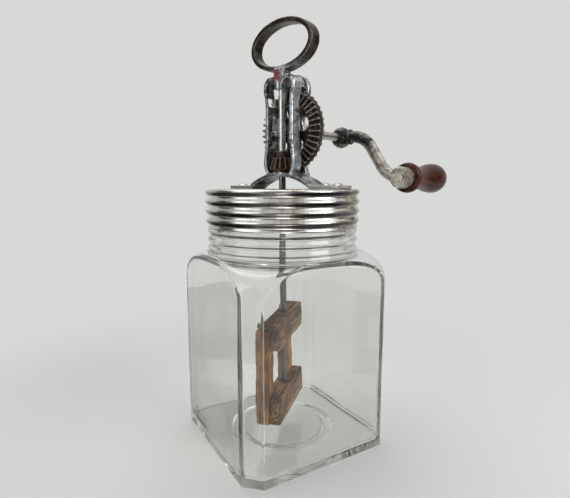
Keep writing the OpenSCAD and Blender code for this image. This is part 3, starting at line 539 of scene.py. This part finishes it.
# Grey iron cast in sand with worn nickel plate: grey-white plate, brown pits, painted shade in its recesses,
# and a bare dark ring
def wornNickelIron():
    finish, tree, place, shader = newFinish("wornNickelOnCastIron")
    fromLid = addNode(tree, "VectorMath", {0: place, 1: (0, 0, lidTop)}, operation="SUBTRACT")
    part = addNode(tree, "SeparateXYZ", {0: fromLid}, out=None).outputs
    cloud = addNode(tree, "TexNoise", {"Vector": place, "Scale": 1 / 8, "Detail": 7.0, "Roughness": 0.68})
    grit = addNode(tree, "TexNoise", {"Vector": place, "Scale": 1 / 1.1, "Detail": 3.0})
    edge = addNode(tree, "NewGeometry", out="Pointiness")
    # Painted shade: dark brown where the casting is hollow or closed in, the same colour as its rust
    exposed = addNode(tree, "AmbientOcclusion", {"Distance": 7 * mm}, samples=6, out="AO")
    occludedShade = addNode(tree, "MapRange", {0: exposed, 1: 0.85, 2: 0.35})
    mottle = addNode(tree, "TexNoise", {"Vector": place, "Scale": 1 / 3.6, "Detail": 5.0, "Roughness": 0.55})
    tone = addNode(tree, "MapRange", {0: mottle, 1: 0.34, 2: 0.68})
    plate = addNode(tree, "Mix", {0: tone, 6: "#dcdee2", 7: "#7d7f84"}, out=2, data_type="RGBA")
    pits = addNode(tree, "MapRange", {0: grit, 1: 0.62, 2: 0.72})
    lost = addNode(tree, "MapRange", {0: cloud, 1: 0.52, 2: 0.6})
    rustAndShade = addNode(tree, "Math", {0: pits, 1: lost}, operation="MAXIMUM")
    rustAndShade = addNode(tree, "Math", {0: rustAndShade, 1: occludedShade}, operation="MAXIMUM")
    rub = addNode(tree, "MapRange", {0: edge, 1: 0.52, 2: 0.6})
    keptRustAndShade = addNode(tree, "Math", {0: rustAndShade, 1: rub}, operation="SUBTRACT", use_clamp=True)
    loop = addNode(tree, "Mix", {0: keptRustAndShade, 6: plate, 7: "#2c2420"}, out=2, data_type="RGBA")
    iron = addNode(tree, "Mix", {0: cloud, 6: "#1d1918", 7: "#453931"}, out=2, data_type="RGBA")
    worn = addNode(tree, "Mix", {0: rub, 6: iron, 7: "#b5aea6"}, out=2, data_type="RGBA")
    sway = addNode(tree, "Math", {0: cloud, 1: casting["ringSway"], 2: part[2]}, operation="MULTIPLY_ADD")
    rise = casting["ringSway"] / 2
    ring = addNode(tree, "MapRange", {0: sway, 1: casting["ringFrom"] + rise, 2: casting["ringTo"] + rise})
    colour = addNode(tree, "Mix", {0: ring, 6: loop, 7: worn}, out=2, data_type="RGBA")
    archLow = casting["archTop"] - casting["archFade"]
    arch = addNode(tree, "MapRange", {0: part[2], 1: casting["archTop"], 2: archLow, 4: 0.4})
    colour = addNode(tree, "Mix", {0: arch, 6: colour, 7: "#423a35"}, out=2, data_type="RGBA")
    footHigh = casting["footTop"] + casting["footFade"]
    low = addNode(tree, "MapRange", {0: part[2], 1: footHigh, 2: casting["footTop"], 4: 0.8})
    colour = addNode(tree, "Mix", {0: low, 6: colour, 7: "#b7b5b0"}, out=2, data_type="RGBA")
    gap = addNode(tree, "VectorMath", {0: fromLid, 1: casting["redAt"]}, operation="DISTANCE", out="Value")
    near = addNode(tree, "MapRange", {0: gap, 1: casting["redFrom"], 2: casting["redTo"]})
    flake = addNode(tree, "Math", {0: near, 1: cloud}, operation="MULTIPLY")
    red = addNode(tree, "MapRange", {0: flake, 1: 0.34, 2: 0.4, 4: 0.9})
    painted = addNode(tree, "Mix", {0: red, 6: colour, 7: "#7c2731"}, out=2, data_type="RGBA")
    dull = addNode(tree, "Math", {0: keptRustAndShade, 1: red}, operation="MAXIMUM")
    metal = addNode(tree, "MapRange", {0: dull, 3: 0.78, 4: 0.35})
    rough = addNode(tree, "MapRange", {0: dull, 3: 0.26, 4: 0.48})
    skin = addNode(tree, "Bump", {"Height": grit, "Strength": 0.35, "Distance": 0.2 * mm})
    wire(tree, shader, {"Base Color": painted, "Metallic": metal, "Roughness": rough, "Normal": skin})
    return finish


frameCasting = softenedCopy("frameCasting", "gear_frame", casting)
settle(frameCasting, "top", "plated_casting", wornNickelIron(), "gear_frame")
print("frame made")


# Gears: dark cast iron, worn where the teeth meet

wheel = dict(voxel=0.36, passes=2, dent=0.08, dentSize=5.0, teeth=40, rimFrom=27.2, dip=0.55)
pinion = dict(voxel=0.3, passes=2, dent=0.0)


# The wheel's rim dips between the teeth
def scallopRim(gear):
    low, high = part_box("drive_gear")
    axis, start = (low.z + high.z) / 2, wheel["rimFrom"] * mm
    for v in gear.data.vertices:
        y, z = v.co.y, v.co.z - axis
        r = math.hypot(y, z)
        if r > start:
            gap = (1 + math.cos(wheel["teeth"] * math.atan2(y, z))) / 2  # 1 between two teeth, 0 behind one
            pull = (start + (r - start) * (1 - wheel["dip"] * gap)) / r
            v.co.y, v.co.z = y * pull, axis + z * pull


# Cast iron left bare and oily: near black with red-brown rust, painted shade near black deep between the
# teeth, and brighter along the edges of the teeth
def rustyIron(name, dark, rust, shine):
    finish, tree, place, shader = newFinish(name)
    cloud = addNode(tree, "TexNoise", {"Vector": place, "Scale": 1 / 6, "Detail": 7.0, "Roughness": 0.7})
    grit = addNode(tree, "TexNoise", {"Vector": place, "Scale": 1 / 0.9, "Detail": 3.0})
    # Painted shade: near black where the teeth close in on each other
    exposed = addNode(tree, "AmbientOcclusion", {"Distance": 3 * mm}, samples=6, out="AO")
    patch = addNode(tree, "MapRange", {0: cloud, 1: 0.42, 2: 0.62})
    iron = addNode(tree, "Mix", {0: patch, 6: dark, 7: rust}, out=2, data_type="RGBA")
    gap = addNode(tree, "MapRange", {0: exposed, 1: 0.75, 2: 0.4, 4: 0.85})
    gapShadedIron = addNode(tree, "Mix", {0: gap, 6: iron, 7: "#0f0c0a"}, out=2, data_type="RGBA")
    edge = addNode(tree, "NewGeometry", out="Pointiness")
    rub = addNode(tree, "MapRange", {0: edge, 1: 0.5, 2: 0.57})
    tips = addNode(tree, "MapRange", {0: grit, 1: 0.72, 2: 0.42})
    bright = addNode(tree, "Math", {0: rub, 1: tips}, operation="MULTIPLY")
    colour = addNode(tree, "Mix", {0: bright, 6: gapShadedIron, 7: shine}, out=2, data_type="RGBA")
    metal = addNode(tree, "MapRange", {0: bright, 3: 0.35, 4: 0.9})
    rough = addNode(tree, "MapRange", {0: cloud, 1: 0.3, 2: 0.7, 3: 0.38, 4: 0.62})
    skin = addNode(tree, "Bump", {"Height": grit, "Strength": 0.4, "Distance": 0.2 * mm})
    wire(tree, shader, {"Base Color": colour, "Metallic": metal, "Roughness": rough, "Normal": skin})
    return finish


gearIron = rustyIron("oiledCastIron", "#1b1512", "#452c1f", "#b9aea3")
pinionIron = rustyIron("rustedCastIron", "#231a15", "#583520", "#978b80")
gearWheel = softenedCopy("gearWheel", "drive_gear", wheel)
scallopRim(gearWheel)
settle(gearWheel, "drive", "rusty_gear_iron", gearIron, "drive_gear")
pinionWheel = softenedCopy("pinionWheel", "dasher_pinion", pinion)
settle(pinionWheel, "dasher", "rusty_gear_iron", pinionIron, "dasher_pinion")
print("gears made")


# Crank: a bent iron arm, black paint worn to grey towards the knob

crank = dict(voxel=0.42, passes=8, dent=0.1, dentSize=6.0, wornFrom=-12.0, wornTo=-48.0,
             ballFrom=-8.0, ballTo=-5.0, ballWear=0.06, groove=5.6, grooveWide=0.6)


# Cast iron brushed with black paint: glossy black, rubbed to grey metal and brown where the hand goes
def wornBlackPaint():
    finish, tree, place, shader = newFinish("blackPaintOnCastIron")
    part = addNode(tree, "SeparateXYZ", {0: place}, out=None).outputs
    cloud = addNode(tree, "TexNoise", {"Vector": place, "Scale": 1 / 10, "Detail": 7.0, "Roughness": 0.62})
    grit = addNode(tree, "TexNoise", {"Vector": place, "Scale": 1 / 1.2, "Detail": 3.0})
    edge = addNode(tree, "NewGeometry", out="Pointiness")
    along = addNode(tree, "MapRange", {0: part[1], 1: crank["wornFrom"], 2: crank["wornTo"],
                                       3: -0.14, 4: 0.3})
    raised = addNode(tree, "MapRange", {0: edge, 1: 0.5, 2: 0.6, 4: 0.25})
    ball = addNode(tree, "MapRange", {0: part[1], 1: crank["ballFrom"], 2: crank["ballTo"],
                                      4: crank["ballWear"]})
    wear = addNode(tree, "Math", {0: cloud, 1: along}, operation="ADD")
    wear = addNode(tree, "Math", {0: wear, 1: raised}, operation="ADD")
    wear = addNode(tree, "Math", {0: wear, 1: ball}, operation="ADD")
    bare = addNode(tree, "MapRange", {0: wear, 1: 0.5, 2: 0.62})
    paint = addNode(tree, "Mix", {0: cloud, 6: "#191716", 7: "#332d2b"}, out=2, data_type="RGBA")
    brown = addNode(tree, "MapRange", {0: cloud, 1: 0.44, 2: 0.6})
    iron = addNode(tree, "Mix", {0: brown, 6: "#cbc8c2", 7: "#8a7d71"}, out=2, data_type="RGBA")
    pits = addNode(tree, "MapRange", {0: grit, 1: 0.58, 2: 0.68, 4: 0.75})
    pitted = addNode(tree, "Mix", {0: pits, 6: iron, 7: "#43372e"}, out=2, data_type="RGBA")
    colour = addNode(tree, "Mix", {0: bare, 6: paint, 7: pitted}, out=2, data_type="RGBA")
    metal = addNode(tree, "MapRange", {0: bare, 3: 0.2, 4: 0.9})
    rough = addNode(tree, "MapRange", {0: bare, 3: 0.27, 4: 0.38})
    # One turned groove around the rivet on the boss
    spindle = addNode(tree, "CombineXYZ", {0: part[0], 1: knobPin[1], 2: knobPin[2]})
    off = addNode(tree, "VectorMath", {0: place, 1: spindle}, operation="DISTANCE", out="Value")
    side = addNode(tree, "Math", {0: off, 1: crank["groove"]}, operation="SUBTRACT")
    depth = addNode(tree, "Math", {0: side}, operation="ABSOLUTE")
    groove = addNode(tree, "MapRange", {0: depth, 1: 0.0, 2: crank["grooveWide"]})
    height = addNode(tree, "Math", {0: grit, 1: 0.5, 2: groove}, operation="MULTIPLY_ADD")
    skin = addNode(tree, "Bump", {"Height": height, "Strength": 0.4, "Distance": 0.25 * mm})
    wire(tree, shader, {"Base Color": colour, "Metallic": metal, "Roughness": rough, "Normal": skin})
    return finish


crankCasting = softenedCopy("crankCasting", "crank_arm", crank)
settle(crankCasting, "drive", "worn_black_casting", wornBlackPaint(), "crank_arm")
print("crank made")


# Knob: turned hardwood that spins on its spindle

knob = dict(length=60.0, collar=11.7, collarWidth=8.0, collarRound=2.4,
            throat=((9.1, 9.2), (8.95, 11.5), (8.85, 15.0)),  # (radius, distance), collar to waist
            waist=8.8, waistAt=19.0, bulb=12.15, bulbEnd=13.5, flat=5.2,
            bore=2.56, recess=4.4, recessDepth=2.2, steps=20, around=96)


def makeKnob():
    steps = knob["steps"]
    outline = [(knob["bore"], 0.0)]
    for i in range(steps + 1):
        t = 2 * i / steps - 1
        r = knob["collar"] - knob["collarRound"] * (1 - math.sqrt(1 - t * t))
        outline.append((r, knob["collarWidth"] * i / steps))
    outline += knob["throat"]
    wideAt = knob["length"] - knob["bulbEnd"]
    for i in range(steps + 1):
        t = i / steps
        r = knob["waist"] + (knob["bulb"] - knob["waist"]) * (1 - math.cos(math.pi * t)) / 2
        outline.append((r, knob["waistAt"] + (wideAt - knob["waistAt"]) * t))
    end = math.acos(knob["flat"] / knob["bulb"])
    for i in range(1, steps + 1):
        a = end * i / steps
        outline.append((knob["bulb"] * math.cos(a), wideAt + knob["bulbEnd"] * math.sin(a) / math.sin(end)))
    bottom = knob["length"] - knob["recessDepth"]
    outline += [(knob["recess"], knob["length"]), (knob["recess"], bottom), (knob["bore"], bottom)]
    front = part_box("crank_knob")[0][0] / mm
    lying = Matrix.Rotation(math.pi / 2, 4, "Y")
    place = Matrix.Translation(Vector((front, knobPin[1], knobPin[2]))) @ lying
    return turnOnLathe("knobWood", outline, knob["around"], place)


# Beech turned on a lathe, stained red-brown and varnished: long fine grain under a glossy coat
def varnishedBeech():
    finish, tree, place, shader = newFinish("varnishedTurnedBeech")
    along = addNode(tree, "VectorMath", {0: place, 1: (0.06, 1.0, 1.0)}, operation="MULTIPLY")
    grain = addNode(tree, "TexNoise", {"Vector": along, "Scale": 1 / 1.3, "Detail": 6.0, "Roughness": 0.6})
    cloud = addNode(tree, "TexNoise", {"Vector": place, "Scale": 1 / 12, "Detail": 4.0})
    line = addNode(tree, "MapRange", {0: grain, 1: 0.38, 2: 0.62})
    wood = addNode(tree, "Mix", {0: line, 6: "#1e0a06", 7: "#532413"}, out=2, data_type="RGBA")
    worn = addNode(tree, "MapRange", {0: cloud, 1: 0.54, 2: 0.7, 4: 0.6})
    colour = addNode(tree, "Mix", {0: worn, 6: wood, 7: "#774524"}, out=2, data_type="RGBA")
    rough = addNode(tree, "MapRange", {0: cloud, 1: 0.3, 2: 0.7, 3: 0.22, 4: 0.4})
    fibre = addNode(tree, "Bump", {"Height": grain, "Strength": 0.15, "Distance": 0.2 * mm})
    wire(tree, shader, {"Base Color": colour, "Roughness": rough, "Normal": fibre, "Specular IOR Level": 0.15,
                        "Coat Weight": 0.08, "Coat Roughness": 0.05})
    return finish


settle(makeKnob(), "knob", "varnished_wood", varnishedBeech(), "crank_knob")
print("knob made")


# Dasher: two bars and two slats of plain wood, stained by milk and water

dasher = dict(voxel=0.7, passes=12, dent=0.5, dentSize=7.0, turn=27.0)  # turn in degrees, at rest


# Sawn maple, soaked and dried for years: raised grain, pale tan with dark brown streaks and end grain
def soakedMaple(name, upright, dark, pale, damp):
    finish, tree, place, shader = newFinish(name)
    turned = addNode(tree, "VectorRotate", {"Vector": place, "Angle": -math.radians(dasher["turn"])},
                     rotation_type="Z_AXIS")
    squeeze = (1.0, 1.0, 0.05) if upright else (0.05, 1.0, 1.0)
    along = addNode(tree, "VectorMath", {0: turned, 1: squeeze}, operation="MULTIPLY")
    grain = addNode(tree, "TexNoise", {"Vector": along, "Scale": 1 / 1.8, "Detail": 7.0, "Roughness": 0.65})
    cloud = addNode(tree, "TexNoise", {"Vector": place, "Scale": 1 / 16, "Detail": 5.0})
    line = addNode(tree, "MapRange", {0: grain, 1: 0.4, 2: 0.6})
    thin = addNode(tree, "TexNoise", {"Vector": along, "Scale": 1 / 0.8, "Detail": 2.0})
    crack = addNode(tree, "MapRange", {0: thin, 1: 0.64, 2: 0.7, 4: 0.85})
    wood = addNode(tree, "Mix", {0: line, 6: dark, 7: pale}, out=2, data_type="RGBA")
    wet = addNode(tree, "MapRange", {0: cloud, 1: 0.46, 2: 0.64, 4: 0.8})
    stained = addNode(tree, "Mix", {0: wet, 6: wood, 7: damp}, out=2, data_type="RGBA")
    colour = addNode(tree, "Mix", {0: crack, 6: stained, 7: "#1c130c"}, out=2, data_type="RGBA")
    relief = addNode(tree, "Math", {0: crack, 1: -1.0, 2: grain}, operation="MULTIPLY_ADD")
    fibre = addNode(tree, "Bump", {"Height": relief, "Strength": 0.6, "Distance": 0.35 * mm})
    wire(tree, shader, {"Base Color": colour, "Roughness": 0.72, "Normal": fibre})
    return finish


barWood = soakedMaple("soakedMapleBar", False, "#34251a", "#977455", "#33271d")
slatWood = soakedMaple("soakedMapleSlat", True, "#5f3f22", "#bd8a4c", "#553a24")
for piece, node, finish in (("upperBar", "upper_crossbar", barWood), ("lowerBar", "lower_crossbar", barWood),
                            ("nearSlat", "near_slat", slatWood), ("farSlat", "far_slat", slatWood)):
    settle(softenedCopy(piece, node, dasher), "dasher", "bare_wood", finish, node)
print("dasher made")


# Steel, rubber and brass pieces keep their CAD shape

rod = dict(lighterFrom=10.4, lighterFade=4.0)  # above the lid, from where the dasher's shaft is drawn lighter


# Drawn steel, or stamped brass: smooth and fairly bright, finely pitted, with a few rust or tarnish specks
def drawnMetal(name, bright, dull, rust, lighterAbove=None):
    finish, tree, place, shader = newFinish(name)
    cloud = addNode(tree, "TexNoise", {"Vector": place, "Scale": 1 / 8, "Detail": 5.0, "Roughness": 0.6})
    speck = addNode(tree, "TexNoise", {"Vector": place, "Scale": 1 / 1.4, "Detail": 4.0})
    steel = addNode(tree, "Mix", {0: cloud, 6: bright, 7: dull}, out=2, data_type="RGBA")
    if lighterAbove:
        # The steel colour turns lighter above the given height
        height = addNode(tree, "SeparateXYZ", {0: place}, out=2)
        low, high = lighterAbove - rod["lighterFade"], lighterAbove + rod["lighterFade"]
        lighterShare = addNode(tree, "MapRange", {0: height, 1: low, 2: high})
        steel = addNode(tree, "Mix", {0: lighterShare, 6: steel, 7: "#d9d8d4"}, out=2, data_type="RGBA")
    spots = addNode(tree, "MapRange", {0: speck, 1: 0.6, 2: 0.7, 4: 0.7})
    colour = addNode(tree, "Mix", {0: spots, 6: steel, 7: rust}, out=2, data_type="RGBA")
    metal = addNode(tree, "MapRange", {0: spots, 3: 1.0, 4: 0.4})
    rough = addNode(tree, "MapRange", {0: cloud, 1: 0.3, 2: 0.7, 3: 0.2, 4: 0.42})
    pits = addNode(tree, "Bump", {"Height": speck, "Strength": 0.15, "Distance": 0.1 * mm})
    wire(tree, shader, {"Base Color": colour, "Metallic": metal, "Roughness": rough, "Normal": pits})
    return finish


# Vulcanised rubber gone grey: matt and a little dusty
def agedRubber():
    finish, tree, place, shader = newFinish("agedMouldedRubber")
    dust = addNode(tree, "TexNoise", {"Vector": place, "Scale": 1 / 3, "Detail": 5.0})
    colour = addNode(tree, "Mix", {0: dust, 6: "#3a3836", 7: "#6a665f"}, out=2, data_type="RGBA")
    skin = addNode(tree, "Bump", {"Height": dust, "Strength": 0.2, "Distance": 0.2 * mm})
    wire(tree, shader, {"Base Color": colour, "Roughness": 0.8, "Normal": skin})
    return finish


brightRod = drawnMetal("brightDrawnSteel", "#d0cec9", "#98948d", "#5b4434")
greyRod = drawnMetal("greyDrawnSteel", "#8d8c8b", "#56565a", "#3f342c", lidTop + rod["lighterFrom"])
fastener = drawnMetal("oldWireSteel", "#9a958e", "#6a645d", "#55382a")
rivetSteel = drawnMetal("hammeredRivetSteel", "#c9c5bd", "#93887b", "#6b4a33")
washerBrass = drawnMetal("stampedBrass", "#6e5f40", "#463c2b", "#2f281d")
plain = {
    "crank_shaft": brightRod, "dasher_shaft": greyRod, "knob_spindle": rivetSteel, "foot_rivets": brightRod,
    "gear_pin": fastener, "crank_pin": fastener, "pinion_pin": fastener, "crossbar_pins": fastener,
    "slat_nails": fastener, "thrust_washer": washerBrass, "lid_gasket": agedRubber(),
}
for node, finish in plain.items():
    nodes[node].data.materials.clear()
    nodes[node].data.materials.append(finish)
print("small pieces dressed")
